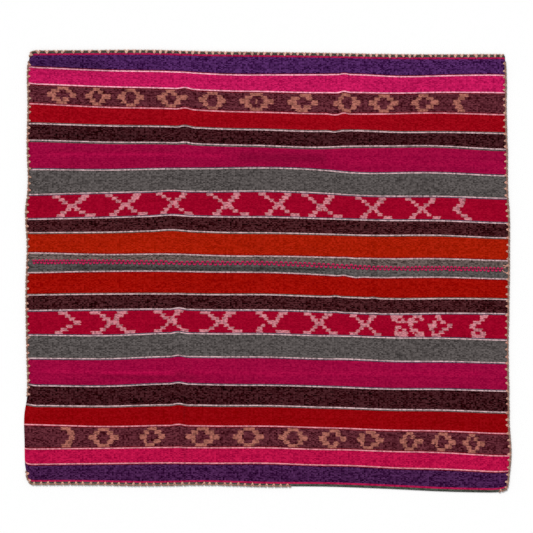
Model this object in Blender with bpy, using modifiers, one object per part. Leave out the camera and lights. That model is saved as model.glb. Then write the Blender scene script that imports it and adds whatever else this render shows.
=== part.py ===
"""A striped wool rug of two loom panels, lying flat.

The panels lie side by side and a zigzag of thick yarn joins them along the
middle. A blanket stitch edges the rug, except where it has worn away. Low
ripples and folds lift the cloth here and there; elsewhere it lies flat.

Frame: X runs along the stripes, Y across them towards the far edge, Z up.
The underside lies on Z = 0 and the origin is under the middle of the rug.
The tables hold millimetres, and the model is made in metres.
"""

import math
from collections import namedtuple

import bmesh
import bpy
import numpy as np

MM = 0.001

# The cloth and the gap between pieces that touch, in millimetres.
SHEET_THICKNESS = 2.0
PIECE_GAP = 0.3

# The tables below are drawn about this point, which becomes the origin.
TABLE_MIDDLE_X = 1.5
TABLE_MIDDLE_Y = -2.2

# The long edges and the join, at places along the rug.
Station = namedtuple("Station", "x far_edge join near_edge")
STATIONS = (
    Station(-600.0, 549.5, 21.5, -535.0),
    Station(-450.0, 550.5, 21.7, -535.0),
    Station(-300.0, 551.0, 20.5, -537.5),
    Station(-150.0, 547.5, 18.2, -535.5),
    Station(0.0, 545.5, 18.2, -539.5),
    Station(150.0, 543.5, 12.2, -540.5),
    Station(300.0, 540.5, 5.5, -546.0),
    Station(450.0, 540.0, 5.0, -553.0),
    Station(600.0, 540.5, 1.5, -556.0),
)

# The two ends, at places across the rug. The stitches draw the cloth in, so
# the left end stands out where they are gone.
End = namedtuple("End", "y left right")
ENDS = (
    End(-540.0, -602.5, 600.0),
    End(-500.0, -605.5, 604.0),
    End(-440.0, -606.5, 608.0),
    End(-365.0, -606.5, 603.0),
    End(-335.0, -601.5, 603.0),
    End(-200.0, -600.5, 601.0),
    End(-50.0, -602.5, 603.0),
    End(50.0, -599.5, 604.0),
    End(160.0, -602.5, 603.0),
    End(200.0, -597.5, 600.0),
    End(300.0, -599.5, 599.0),
    End(400.0, -597.5, 596.0),
    End(490.0, -598.5, 596.0),
    End(540.0, -593.5, 594.0),
)

# How far the rounding of each corner reaches along the rug and across it.
Corner = namedtuple("Corner", "along across")
CORNERS = {
    "far_panel": {"left": Corner(9.0, 7.0), "right": Corner(7.0, 5.0)},
    "near_panel": {"left": Corner(17.0, 34.0), "right": Corner(9.0, 10.0)},
}

# Each panel's stripes from the join outwards: the yarn, the width, and the
# rows of faces that a stripe is divided into, by their shares of its width.
Stripe = namedtuple("Stripe", "yarn width rows")
HALF = (0.5, 1.0)
WHOLE = (1.0,)
FAR_STRIPES = (
    Stripe("grey", 23.0, (0.4, 1.0)),
    Stripe("orange_red", 57.0, HALF),
    Stripe("dark_brown", 37.0, WHOLE),
    Stripe("crimson", 63.0, HALF),
    Stripe("grey", 56.0, HALF),
    Stripe("magenta", 66.0, HALF),
    Stripe("dark_brown", 39.0, WHOLE),
    Stripe("red", 46.0, WHOLE),
    Stripe("mauve_brown", 52.0, HALF),
    Stripe("pink", 42.0, WHOLE),
    Stripe("purple", 52.0, (0.4, 0.74, 0.9, 1.0)),
)
NEAR_STRIPES = (
    Stripe("grey", 21.0, (0.44, 1.0)),
    Stripe("orange_red", 55.0, HALF),
    Stripe("dark_brown", 37.0, WHOLE),
    Stripe("crimson", 62.0, HALF),
    Stripe("grey", 58.0, HALF),
    Stripe("magenta", 70.0, HALF),
    Stripe("dark_brown", 50.0, HALF),
    Stripe("red", 52.0, WHOLE),
    Stripe("mauve_brown", 55.0, HALF),
    Stripe("pink", 39.0, WHOLE),
    Stripe("purple", 55.0, (0.4, 0.74, 0.9, 1.0)),
)

# The panels are divided along the rug at these distances from each end, and
# evenly between them.
END_COLUMNS = (0.0, 5.0, 13.0)
MIDDLE_COLUMNS = 31
FIRST_MIDDLE_COLUMN = 40.0
NOMINAL_LENGTH = 1200.0
NOMINAL_JOIN_Y = 11.0

# Ripples and folds: ridges along straight lines, with soft sides.
Ripple = namedtuple("Ripple", "name x0 y0 x1 y1 height half_width")
RIPPLES = (
    Ripple("ridge along the far magenta stripe", -560.0, 289.0, 560.0, 277.0, 3.0, 40.0),
    Ripple("ridge along the near magenta stripe", -560.0, -256.0, 560.0, -266.0, 3.0, 42.0),
    Ripple("ridge beside the join", -560.0, 43.0, -60.0, 40.0, 2.0, 30.0),
    Ripple("fold across the near panel", -206.0, -70.0, -206.0, -470.0, 2.5, 42.0),
    Ripple("slanting fold", -262.0, -150.0, -148.0, -262.0, 1.5, 40.0),
    Ripple("fold across the far panel", 170.0, 470.0, 158.0, 90.0, 1.5, 42.0),
)
RIPPLE_END_FADE = 70.0

# The cloth stays flat this close to its rim and to the join, and a ripple has
# its full height from the second distance on.
RIM_FLAT = 14.0
RIM_FREE = 60.0
JOIN_FLAT = 9.5
JOIN_FREE = 22.0

# The zigzag yarn over the join. The reach is to the yarn's middle, and the
# pitch varies along the rug.
ZIGZAG_LEFT = -587.0
ZIGZAG_RIGHT = 590.0
Spacing = namedtuple("Spacing", "x pitch")
ZIGZAG_SPACINGS = (
    Spacing(-600.0, 8.8),
    Spacing(-400.0, 9.6),
    Spacing(-330.0, 11.6),
    Spacing(0.0, 12.0),
    Spacing(250.0, 11.1),
    Spacing(430.0, 9.8),
    Spacing(600.0, 9.6),
)
ZIGZAG_REACH = 4.0
ZIGZAG_YARN_HALF_WIDTH = 2.1
ZIGZAG_YARN_HALF_HEIGHT = 0.6

# The blanket stitch. Each run goes clockwise, seen from above, from one place
# on the rim to another. The first stitches of a run can lie further apart.
Run = namedtuple("Run", "node from_side from_at to_side to_at pitch first_pitch first_length")
STITCH_RUNS = (
    Run("edging_near", "near_left", 45.0, "left", -492.0, 17.6, 17.6, 0.0),
    Run("edging_left", "left", -317.0, "left", 532.0, 17.6, 17.6, 0.0),
    Run("edging_far", "left", 532.4, "right", 526.4, 16.4, 22.0, 250.0),
    Run("edging_right", "right", 526.0, "near_right", 575.0, 17.4, 17.4, 0.0),
)
EDGING_OUT = 3.0
EDGING_TOP = 3.4
EDGING_SHOULDER = 0.8
STITCH_REACH = 10.0
STITCH_FOOT_REACH = 1.2
STITCH_TIP_THICKNESS = 0.3
STITCH_HALF_BASE = 0.33
STITCH_UNEVEN = 0.14
GOLDEN_ANGLE = 2.39996
CORNER_TURN = math.radians(6.0)
CORNER_CLEARANCE = 15.0
CORNER_REACH = 2.0
CLOSEST_SAMPLES = 1.6

# The rim is followed clockwise, seen from above, from a place on the near side
# where it is bare, at this share of the rug's length. Each side runs along an
# axis, 0 for X and 1 for Y, and in a direction on it.
RIM_START_SHARE = 0.75
SIDE_RUNS = {
    "near_left": (0, -1.0),
    "left": (1, 1.0),
    "far": (0, 1.0),
    "right": (1, -1.0),
    "near_right": (0, -1.0),
}

# Yarn colours, as red, green and blue from 0 to 255.
YARN_COLOURS = {
    "grey": (84, 79, 76),
    "orange_red": (156, 22, 8),
    "dark_brown": (60, 24, 28),
    "crimson": (150, 5, 36),
    "magenta": (154, 13, 64),
    "red": (146, 6, 18),
    "mauve_brown": (87, 40, 46),
    "pink": (182, 20, 76),
    "purple": (68, 30, 76),
    "tan": (172, 136, 112),
    "hot_pink": (196, 34, 88),
}
WOOL_ROUGHNESS = 0.9

Panel = namedtuple("Panel", "node side edge_column stripes")
PANELS = (
    Panel("far_panel", 1.0, "far_edge", FAR_STRIPES),
    Panel("near_panel", -1.0, "near_edge", NEAR_STRIPES),
)


def clear_scene():
    """Remove every object of the open file."""
    for obj in list(bpy.data.objects):
        bpy.data.objects.remove(obj, do_unlink=True)


def new_collection(name):
    """Make a collection under the scene's own."""
    collection = bpy.data.collections.new(name)
    bpy.context.scene.collection.children.link(collection)
    return collection


def linear(channel):
    """Turn a colour channel of 0 to 255 into its linear value."""
    share = channel / 255.0
    if share <= 0.04045:
        return share / 12.92
    return ((share + 0.055) / 1.055) ** 2.4


def yarn_material(yarn):
    """Make the wool material of a yarn, or return it if it is there."""
    name = yarn + "_wool"
    if name in bpy.data.materials:
        return bpy.data.materials[name]
    material = bpy.data.materials.new(name)
    material.use_nodes = True
    shader = material.node_tree.nodes["Principled BSDF"]
    red, green, blue = (linear(channel) for channel in YARN_COLOURS[yarn])
    shader.inputs["Base Color"].default_value = (red, green, blue, 1.0)
    shader.inputs["Roughness"].default_value = WOOL_ROUGHNESS
    shader.inputs["Metallic"].default_value = 0.0
    material.diffuse_color = (red, green, blue, 1.0)
    return material


def table_value(table, place, column, at):
    """Read a table's column at a place, on a smooth curve through its rows."""
    places = np.array([getattr(row, place) for row in table])
    values = np.array([getattr(row, column) for row in table])
    slopes = np.gradient(values, places)
    at = min(max(at, places[0]), places[-1])
    low = min(int(np.searchsorted(places, at, side="right")) - 1, len(places) - 2)
    span = places[low + 1] - places[low]
    u = (at - places[low]) / span
    return (
        (2 * u**3 - 3 * u**2 + 1) * values[low]
        + (u**3 - 2 * u**2 + u) * span * slopes[low]
        + (3 * u**2 - 2 * u**3) * values[low + 1]
        + (u**3 - u**2) * span * slopes[low + 1]
    )


def soft_step(distance, start, full):
    """Rise from 0 at the start to 1 at full, with no corner."""
    share = min(max((distance - start) / (full - start), 0.0), 1.0)
    return share * share * (3.0 - 2.0 * share)


def ripple_height(x, y):
    """Height of the highest ripple at a place: a raised cosine across it, faded at its ends."""
    highest = 0.0
    for ripple in RIPPLES:
        run_x = ripple.x1 - ripple.x0
        run_y = ripple.y1 - ripple.y0
        length = math.hypot(run_x, run_y)
        along = ((x - ripple.x0) * run_x + (y - ripple.y0) * run_y) / length
        across = abs((x - ripple.x0) * run_y - (y - ripple.y0) * run_x) / length
        if across >= ripple.half_width or not 0.0 < along < length:
            continue
        ends = soft_step(min(along, length - along), 0.0, RIPPLE_END_FADE)
        sides = math.cos(0.5 * math.pi * across / ripple.half_width) ** 2
        highest = max(highest, ripple.height * ends * sides)
    return highest


def column_shares():
    """Places of the panels' columns, as shares of the rug's length."""
    first = list(END_COLUMNS)
    last = [NOMINAL_LENGTH - place for place in reversed(first)]
    middle = np.linspace(FIRST_MIDDLE_COLUMN, NOMINAL_LENGTH - FIRST_MIDDLE_COLUMN, MIDDLE_COLUMNS)
    return [place / NOMINAL_LENGTH for place in first + list(middle) + last]


def row_distances(stripes):
    """Distances of a panel's rows from the join, and the stripe that each row ends in."""
    distances = [0.0]
    owners = []
    start = 0.0
    for stripe in stripes:
        for share in stripe.rows:
            distances.append(start + share * stripe.width)
            owners.append(stripe)
        start += stripe.width
    return distances, owners


def corner_drop(panel, end, distance):
    """How far a long edge is drawn in at a distance from an end: a quarter of an ellipse."""
    along, across = CORNERS[panel.node][end]
    if distance >= along:
        return 0.0
    share = min((along - distance) / along, 1.0)
    return across * (1.0 - math.sqrt(1.0 - share**2))


def cloth_point(panel, share, distance):
    """Point of a panel's top face, at a share of its length and a distance from the join."""
    width = sum(stripe.width for stripe in panel.stripes)
    outwards = distance / width
    straight_y = NOMINAL_JOIN_Y + panel.side * distance
    left = table_value(ENDS, "y", "left", straight_y)
    right = table_value(ENDS, "y", "right", straight_y)
    x = left + share * (right - left)
    drop = corner_drop(panel, "left", x - left) + corner_drop(panel, "right", right - x)
    edge = table_value(STATIONS, "x", panel.edge_column, x) - panel.side * drop
    join = table_value(STATIONS, "x", "join", x) + panel.side * 0.5 * PIECE_GAP
    y = join + outwards * (edge - join)
    to_rim = min(x - left, right - x, width - distance)
    free = soft_step(to_rim, RIM_FLAT, RIM_FREE) * soft_step(distance, JOIN_FLAT, JOIN_FREE)
    z = SHEET_THICKNESS + free * ripple_height(x, y)
    return x, y, z


def in_frame(x, y, z):
    """Turn a point of the tables into the model's frame, in metres."""
    return ((x - TABLE_MIDDLE_X) * MM, (y - TABLE_MIDDLE_Y) * MM, z * MM)


def add_object(name, mesh, collection):
    """Put a mesh into the scene as a named object."""
    obj = bpy.data.objects.new(name, mesh)
    collection.objects.link(obj)
    return obj


def make_panel(panel, collection):
    """Make one panel: a grid moved onto the cloth's shape, thickened downwards."""
    shares = column_shares()
    distances, owners = row_distances(panel.stripes)
    if panel.side < 0:
        distances = distances[::-1]
        owners = owners[::-1]
    columns = len(shares) - 1
    rows = len(distances) - 1
    bm = bmesh.new()
    bmesh.ops.create_grid(bm, x_segments=columns, y_segments=rows, size=1.0)
    yarns = sorted({stripe.yarn for stripe in panel.stripes})
    for face in bm.faces:
        row = int((face.calc_center_median().y + 1.0) / 2.0 * rows)
        face.material_index = yarns.index(owners[row].yarn)
    for vert in bm.verts:
        column = round((vert.co.x + 1.0) / 2.0 * columns)
        row = round((vert.co.y + 1.0) / 2.0 * rows)
        vert.co = in_frame(*cloth_point(panel, shares[column], distances[row]))
    mesh = bpy.data.meshes.new(panel.node)
    bm.to_mesh(mesh)
    bm.free()
    for yarn in yarns:
        mesh.materials.append(yarn_material(yarn))
    obj = add_object(panel.node, mesh, collection)
    thick = obj.modifiers.new("cloth_thickness", "SOLIDIFY")
    thick.thickness = SHEET_THICKNESS * MM
    thick.offset = -1.0
    return obj


def rim_path():
    """Plan points of the rug's rim, clockwise, and the first and last point of each side."""
    far, near = PANELS
    shares = column_shares()
    split = int(RIM_START_SHARE * len(shares))
    far_rows = row_distances(far.stripes)[0]
    near_rows = row_distances(near.stripes)[0]
    near_side = [cloth_point(near, share, near_rows[-1])[:2] for share in shares]
    sides = {
        "near_left": near_side[split::-1],
        "left": [cloth_point(near, 0.0, row)[:2] for row in reversed(near_rows)]
        + [cloth_point(far, 0.0, row)[:2] for row in far_rows],
        "far": [cloth_point(far, share, far_rows[-1])[:2] for share in shares],
        "right": [cloth_point(far, 1.0, row)[:2] for row in reversed(far_rows)]
        + [cloth_point(near, 1.0, row)[:2] for row in near_rows],
        "near_right": near_side[: split - 1 : -1],
    }
    points = []
    spans = {}
    for side in SIDE_RUNS:
        start = max(len(points) - 1, 0)
        points += sides[side] if not points else sides[side][1:]
        spans[side] = (start, len(points))
    return np.array(points), spans


def lengths_along(points):
    """Distance of each point from the first, along the path."""
    steps = np.hypot(*np.diff(points, axis=0).T)
    return np.concatenate([[0.0], np.cumsum(steps)])


def place_on_rim(points, lengths, spans, side, at):
    """Distance along the rim of the place on a side with this X or Y."""
    first, last = spans[side]
    axis, way = SIDE_RUNS[side]
    return float(np.interp(way * at, way * points[first:last, axis], lengths[first:last]))


def stitch_samples(run, start, end):
    """Distances along the rim and the stitch's reach there: foot, tip and foot of each stitch."""
    samples = [(start, STITCH_FOOT_REACH)]
    index = 0
    place = start
    while True:
        pitch = run.first_pitch if place - start < run.first_length else run.pitch
        tip = place + 0.5 * pitch
        if tip + STITCH_HALF_BASE * pitch > end - CLOSEST_SAMPLES:
            break
        reach = STITCH_REACH * (1.0 + STITCH_UNEVEN * math.sin(GOLDEN_ANGLE * index))
        samples.append((tip - STITCH_HALF_BASE * pitch, STITCH_FOOT_REACH))
        samples.append((tip, reach))
        samples.append((tip + STITCH_HALF_BASE * pitch, STITCH_FOOT_REACH))
        place += pitch
        index += 1
    samples.append((end, STITCH_FOOT_REACH))
    return samples


def with_corners(samples, corners):
    """Add a sample at each sharp corner of the rim, and shorten the stitches beside it."""
    start = samples[0][0]
    end = samples[-1][0]
    inside = [place for place in corners if start + CLOSEST_SAMPLES < place < end - CLOSEST_SAMPLES]
    kept = []
    for place, reach in samples:
        nearest = min((abs(place - corner) for corner in inside), default=math.inf)
        if nearest < CLOSEST_SAMPLES:
            continue
        if nearest < CORNER_CLEARANCE:
            reach = min(reach, CORNER_REACH)
        kept.append((place, reach))
    return sorted(kept + [(place, STITCH_FOOT_REACH) for place in inside])


def edging_section(point, outwards, reach):
    """Five points round the yarn: outer foot, shoulder, the stitch's inner tip, and the inner face."""
    top_of_cloth = SHEET_THICKNESS + PIECE_GAP
    profile = (
        (EDGING_OUT, 0.0),
        (EDGING_OUT * EDGING_SHOULDER, EDGING_TOP),
        (-reach, top_of_cloth + STITCH_TIP_THICKNESS),
        (PIECE_GAP, top_of_cloth),
        (PIECE_GAP, 0.0),
    )
    return [in_frame(point[0] + out * outwards[0], point[1] + out * outwards[1], z) for out, z in profile]


def loft(sections):
    """Close a skin over sections of equal point counts, with a cap at each end."""
    bm = bmesh.new()
    rings = [[bm.verts.new(point) for point in section] for section in sections]
    count = len(rings[0])
    for ring, following in zip(rings, rings[1:]):
        for i in range(count):
            j = (i + 1) % count
            bm.faces.new((ring[i], ring[j], following[j], following[i]))
    bm.faces.new(reversed(rings[0]))
    bm.faces.new(rings[-1])
    bmesh.ops.recalc_face_normals(bm, faces=bm.faces)
    return bm


def rim_normal(points, lengths, place):
    """Outward direction at a place on the rim, mitred where the place is one of its corners."""
    index = min(int(np.searchsorted(lengths, place + 1e-6, side="right")) - 1, len(points) - 2)
    normals = []
    for low in (index - 1, index):
        if low == index or abs(lengths[index] - place) < 1e-6:
            step = points[low + 1] - points[low]
            normals.append(np.array([-step[1], step[0]]) / np.hypot(*step))
    total = sum(normals)
    unit = total / np.hypot(*total)
    return unit / float(np.dot(unit, normals[0]))


def sharp_places(points, lengths):
    """Distances along the rim of the points where it turns sharply."""
    steps = np.diff(points, axis=0)
    headings = np.arctan2(steps[:, 1], steps[:, 0])
    turns = (np.diff(headings) + math.pi) % (2.0 * math.pi) - math.pi
    return [float(lengths[i + 1]) for i in np.flatnonzero(np.abs(turns) > CORNER_TURN)]


def make_edging(run, collection):
    """Make one run of blanket stitch: a yarn outside the rim with a pointed stitch over it at each pitch."""
    points, spans = rim_path()
    lengths = lengths_along(points)
    start = place_on_rim(points, lengths, spans, run.from_side, run.from_at)
    end = place_on_rim(points, lengths, spans, run.to_side, run.to_at)
    samples = with_corners(stitch_samples(run, start, end), sharp_places(points, lengths))
    sections = []
    for place, reach in samples:
        point = (np.interp(place, lengths, points[:, 0]), np.interp(place, lengths, points[:, 1]))
        sections.append(edging_section(point, rim_normal(points, lengths, place), reach))
    mesh = bpy.data.meshes.new(run.node)
    bm = loft(sections)
    bm.to_mesh(mesh)
    bm.free()
    mesh.materials.append(yarn_material("tan"))
    return add_object(run.node, mesh, collection)


def poly_curve(name, points, closed, collection):
    """Make a curve object of straight runs between points."""
    curve = bpy.data.curves.new(name, "CURVE")
    curve.dimensions = "3D"
    spline = curve.splines.new("POLY")
    spline.points.add(len(points) - 1)
    for control, point in zip(spline.points, points):
        control.co = (*point, 1.0)
    spline.use_cyclic_u = closed
    obj = bpy.data.objects.new(name, curve)
    collection.objects.link(obj)
    return obj


def make_join_stitching(collection, guides):
    """Make the zigzag yarn that joins the panels, with a flat diamond section."""
    half_width = ZIGZAG_YARN_HALF_WIDTH * MM
    half_height = ZIGZAG_YARN_HALF_HEIGHT * MM
    diamond = (
        (half_width, 0.0, 0.0),
        (0.0, -half_height, 0.0),
        (-half_width, 0.0, 0.0),
        (0.0, half_height, 0.0),
    )
    section = poly_curve("zigzag_section", diamond, True, guides)
    section.hide_render = True
    section.display_type = "WIRE"
    z = SHEET_THICKNESS + PIECE_GAP + ZIGZAG_YARN_HALF_HEIGHT
    points = []
    x = ZIGZAG_LEFT
    reach = ZIGZAG_REACH
    while x < ZIGZAG_RIGHT:
        points.append(in_frame(x, table_value(STATIONS, "x", "join", x) + reach, z))
        x += 0.5 * table_value(ZIGZAG_SPACINGS, "x", "pitch", x)
        reach = -reach
    obj = poly_curve("join_stitching", points, False, collection)
    obj.data.twist_mode = "Z_UP"
    obj.data.bevel_mode = "OBJECT"
    obj.data.bevel_object = section
    obj.data.use_fill_caps = True
    obj.data.materials.append(yarn_material("hot_pink"))
    return obj


def main():
    """Build the rug's pieces in the order in which they are made."""
    clear_scene()
    rug = new_collection("striped_wool_rug")
    guides = new_collection("guides")
    for panel in PANELS:
        make_panel(panel, rug)
    make_join_stitching(rug, guides)
    for run in STITCH_RUNS:
        make_edging(run, rug)


main()
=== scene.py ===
"""The looks of a striped wool rug: two woven panels, the zigzag join and the blanket-stitched rim.

Every size is in millimetres, in the sizes' own frame, until `in_model` turns it into metres.
X runs along the stripes to the right, Y across them to the far side and Z up.
"""

import logging
import math
from dataclasses import dataclass, field
from enum import Enum
from typing import Any, Sequence, Union

import bpy
import numpy as np
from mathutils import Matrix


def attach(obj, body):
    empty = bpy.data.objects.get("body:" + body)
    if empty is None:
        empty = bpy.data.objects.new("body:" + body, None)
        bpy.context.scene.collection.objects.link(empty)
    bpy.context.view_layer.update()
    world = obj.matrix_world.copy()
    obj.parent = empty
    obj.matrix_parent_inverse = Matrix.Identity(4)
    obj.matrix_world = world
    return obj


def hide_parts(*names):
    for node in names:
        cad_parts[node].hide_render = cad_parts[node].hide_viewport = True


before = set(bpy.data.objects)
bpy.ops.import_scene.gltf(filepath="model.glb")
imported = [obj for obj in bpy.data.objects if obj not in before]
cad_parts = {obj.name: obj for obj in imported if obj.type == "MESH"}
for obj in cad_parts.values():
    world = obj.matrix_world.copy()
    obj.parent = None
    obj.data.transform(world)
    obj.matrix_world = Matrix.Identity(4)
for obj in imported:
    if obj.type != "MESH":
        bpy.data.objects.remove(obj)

LOG = logging.getLogger("rug")

MM = 0.001
MIDDLE = np.array([1.5, -2.2])

SHEET_THICKNESS = 2.0
PIECE_GAP = 0.3
END_PITCH = 1.25
PICK_PITCH = 4.4
COLUMN_WIDTH = 4.45
STRIPE_ROW = 4.6
FIGURE_ROW = 2.5
NOMINAL_JOIN_Y = 11.0
CORNER_POWER = 14
CLOTH_LENGTH = 1204.0
OUTSIDE = -30.0
PUCKER_FADE = 25
UV_START = 0.65
END_UV = (0.05, 1.25)

Array = np.ndarray
Colour = tuple[float, float, float]


def linear(rgb: Colour) -> Array:
    """Turn a colour of 0 to 255 into linear light: the display curve's inverse."""
    share = np.asarray(rgb, dtype=float) / 255.0
    return np.where(share <= 0.04045, share / 12.92, ((share + 0.055) / 1.055) ** 2.4)


class Dye(Enum):
    """The wool's colours as the display shows them, and how unevenly each has taken."""

    # The far panel's grey beside the join: the grey wool, made lighter than GREY as painted light where that
    # strip faces the lamp beside the raised join.
    SEAM_GREY = (99, 84, 81, 0.85)
    GREY = (84, 78, 77, 0.72)
    ORANGE_RED = (160, 26, 4, 0.36)
    DEEP_ORANGE = (150, 11, 3, 0.34)
    DARK_BROWN = (60, 22, 26, 1.2)
    DEEP_BROWN = (55, 18, 23, 1.15)
    CRIMSON = (151, 2, 36, 0.26)
    MAGENTA = (150, 7, 58, 0.3)
    RED = (148, 4, 19, 0.32)
    DEEP_RED = (138, 2, 9, 0.26)
    MAUVE_BROWN = (84, 33, 42, 0.95)
    PINK = (188, 22, 85, 0.48)
    DEEP_PINK = (178, 15, 66, 0.45)
    PURPLE = (71, 32, 84, 0.9)
    DEEP_PURPLE = (65, 27, 68, 0.9)
    PALE = (190, 159, 162, 0.7)
    PALE_PINK = (236, 164, 182, 0.6)
    FADED_PINK = (214, 137, 148, 0.6)
    SLATE = (62, 58, 78, 0.7)
    DARK_RED = (110, 4, 22, 0.5)
    DULL_GREEN = (64, 70, 62, 0.7)
    EDGE_PINK = (170, 22, 74, 0.4)
    TAN_FIGURE = (157, 94, 83, 0.65)
    ROSE_FIGURE = (190, 118, 127, 0.6)

    def light(self) -> Array:
        """Linear colour, with the unevenness in place of the alpha."""
        return np.append(linear(self.value[:3]), self.value[3])


class Side(Enum):
    """Which side of a pale line its companion thread lies on."""

    INNER = "towards the join"
    OUTER = "away from the join"


# --- Smooth tables and soft shapes ---


def smooth_table(places: Sequence[float], values: Array, at: Array) -> Array:
    """Read a table on a smooth curve through its rows.

    Between two rows the value follows the cubic that has each row's value and
    the slope that the neighbouring rows give it.

    Args:
        places: where the rows are, rising.
        values: one value a row, or several columns of them, rows first.
        at: where to read, of any shape.

    Returns:
        The values there, with the columns' axis first where there is one.
    """
    places = np.asarray(places, dtype=float)
    values = np.asarray(values, dtype=float)
    slopes = np.gradient(values, places, axis=0)
    at = np.clip(at, places[0], places[-1])
    low = np.clip(np.searchsorted(places, at, side="right") - 1, 0, len(places) - 2)
    span = places[low + 1] - places[low]
    u = (at - places[low]) / span
    if values.ndim > 1:
        v0, v1 = np.moveaxis(values[low], -1, 0), np.moveaxis(values[low + 1], -1, 0)
        s0, s1 = np.moveaxis(slopes[low], -1, 0), np.moveaxis(slopes[low + 1], -1, 0)
    else:
        v0, v1, s0, s1 = values[low], values[low + 1], slopes[low], slopes[low + 1]
    return (
        (2 * u**3 - 3 * u**2 + 1) * v0
        + (u**3 - 2 * u**2 + u) * span * s0
        + (3 * u**2 - 2 * u**3) * v1
        + (u**3 - u**2) * span * s1
    )


def soft_step(distance: Array, start: float, full: float) -> Array:
    """Rise from 0 at the start to 1 at full, flat at both: three squares less two cubes."""
    share = np.clip((distance - start) / (full - start), 0.0, 1.0)
    return share * share * (3.0 - 2.0 * share)


def raised_cosine(distance: Array, half_width: float) -> Array:
    """A soft hump: the squared cosine, 1 in the middle and 0 at the half width."""
    share = np.clip(np.abs(distance) / half_width, 0.0, 1.0)
    return np.cos(0.5 * np.pi * share) ** 2


def in_model(points: Array) -> Array:
    """Move points of the sizes' frame into the model's, in metres."""
    moved = np.array(points, dtype=float)
    moved[..., :2] -= MIDDLE
    return moved * MM


def around(here: Array, following: Array) -> Array:
    """A grid of values and the next row's, at the four corners of each face in turn."""
    return np.stack([here[:, :-1], here[:, 1:], following[:, 1:], following[:, :-1]], -1)


def in_scene(name: str, data: Any) -> bpy.types.Object:
    """Put an object that holds this data into the scene."""
    made = bpy.data.objects.new(name, data)
    bpy.context.scene.collection.objects.link(made)
    return made


@dataclass(frozen=True)
class Fold:
    """A soft ridge, or a trough where its height is below 0, along a straight run."""

    x0: float
    y0: float
    x1: float
    y1: float
    height: float
    half_width: float
    end_fade: float = 70.0

    def rise(self, x: Array, y: Array) -> Array:
        """Height: a raised cosine of the distance from the run, faded near its two ends.

        Args:
            x: places along the stripes.
            y: places across them.

        Returns:
            The fold's height at each place.
        """
        run_x, run_y = self.x1 - self.x0, self.y1 - self.y0
        length = math.hypot(run_x, run_y)
        along = ((x - self.x0) * run_x + (y - self.y0) * run_y) / length
        across = ((x - self.x0) * run_y - (y - self.y0) * run_x) / length
        ends = soft_step(np.minimum(along, length - along), 0.0, self.end_fade)
        return self.height * ends * raised_cosine(across, self.half_width)


# --- The rug's outline and relief ---

STATION_X = (-600, -450, -300, -150, 0, 150, 300, 450, 600)
FAR_EDGE = (549.5, 550.5, 551.0, 547.5, 545.5, 543.5, 540.5, 540.0, 540.5)
JOIN = (21.5, 21.7, 20.5, 18.2, 18.2, 12.2, 5.5, 5.0, 1.5)
NEAR_EDGE = (-533.0, -533.0, -535.5, -533.5, -537.5, -538.5, -544.0, -551.0, -554.0)

END_Y = (-540, -500, -440, -365, -335, -200, -50, 50, 160, 200, 300, 400, 490, 540)
LEFT_END = (
    -602.5, -605.5, -606.5, -606.5, -601.5, -600.5, -602.5,
    -599.5, -602.5, -597.5, -599.5, -597.5, -598.5, -593.5,
)
RIGHT_END = (600, 604, 608, 603, 603, 601, 603, 604, 603, 600, 599, 596, 596, 594)

MAIN_RIPPLES = (
    Fold(-560, 289, 560, 277, 3.0, 40),
    Fold(-560, -256, 560, -266, 3.0, 42),
    Fold(-560, 43, -60, 40, 2.0, 30),
    Fold(-206, -70, -206, -470, 2.5, 42),
    Fold(-262, -150, -148, -262, 1.5, 40),
    Fold(170, 470, 158, 90, 1.5, 42),
)

FINE_FOLDS = (
    Fold(-575, 283, -230, 281, 0.9, 16, 40),
    Fold(-440, -251, -210, -254, 1.0, 13, 40),
    Fold(-207, -262, -208, -515, 1.1, 9, 30),
    Fold(-60, 292, 150, 246, 0.8, 15, 30),
    Fold(120, 300, 190, 200, 0.7, 14, 30),
    Fold(-210, 520, -203, 330, 0.8, 12, 30),
    Fold(-300, 236, -235, 150, 0.6, 14, 25),
    Fold(60, -210, 250, -236, 0.6, 18, 40),
    Fold(300, -400, 520, -430, 0.6, 20, 40),
    Fold(-520, -120, -330, -110, 0.5, 18, 40),
    Fold(330, 150, 560, 140, 0.6, 20, 40),
    Fold(-480, 470, -300, 450, 0.5, 20, 40),
)


# Lighter and darker strips multiplied into the dyes, each a Fold whose height is a gain on the dye's light.
# They are painted highlights on the ridge crests and along a diagonal fold, painted shade on the slopes
# beside them, painted shadow along the join, a painted dark line in the crease, and a few further darker and
# lighter patches.
PAINTED_LIGHT_AND_PATCHES = (
    Fold(-560, 291.5, -215, 291, 0.2, 7, 40),
    Fold(-230, 289, -85, 287, 0.14, 11, 30),
    Fold(150, 273, 600, 266, 0.12, 12, 40),
    Fold(-585, -249, -410, -253, 0.2, 7, 30),
    Fold(-425, -253, -225, -255, 0.42, 6, 20),
    Fold(-425, -265, -225, -267, -0.25, 8, 20),
    Fold(-215, -254, 560, -257, 0.14, 8, 40),
    Fold(-75, 287, 154, 281, -0.24, 22, 12),
    Fold(-640, 522, -370, 508, -0.32, 30, 60),
    Fold(-560, 341, -290, 336, -0.2, 16, 50),
    Fold(-240, -158, -185, -180, 0.2, 9, 20),
    Fold(-240, -258, -160, -270, -0.2, 14, 20),
    Fold(-680, 10.0, 178, 3.5, -0.22, 12, 60),
    Fold(-520, 9.2, 190, 3.6, -0.42, 6.0, 60),
    Fold(150, 15, 700, 11, -0.15, 16, 60),
    Fold(-195, 256, -75, 256, -0.22, 10, 25),
    Fold(0, 255, 90, 252, 0.16, 8, 25),
    Fold(-560, 302, -200, 302, -0.16, 9, 50),
    Fold(-207, -290, -208, -535, -0.22, 4.5, 30),
)


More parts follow.
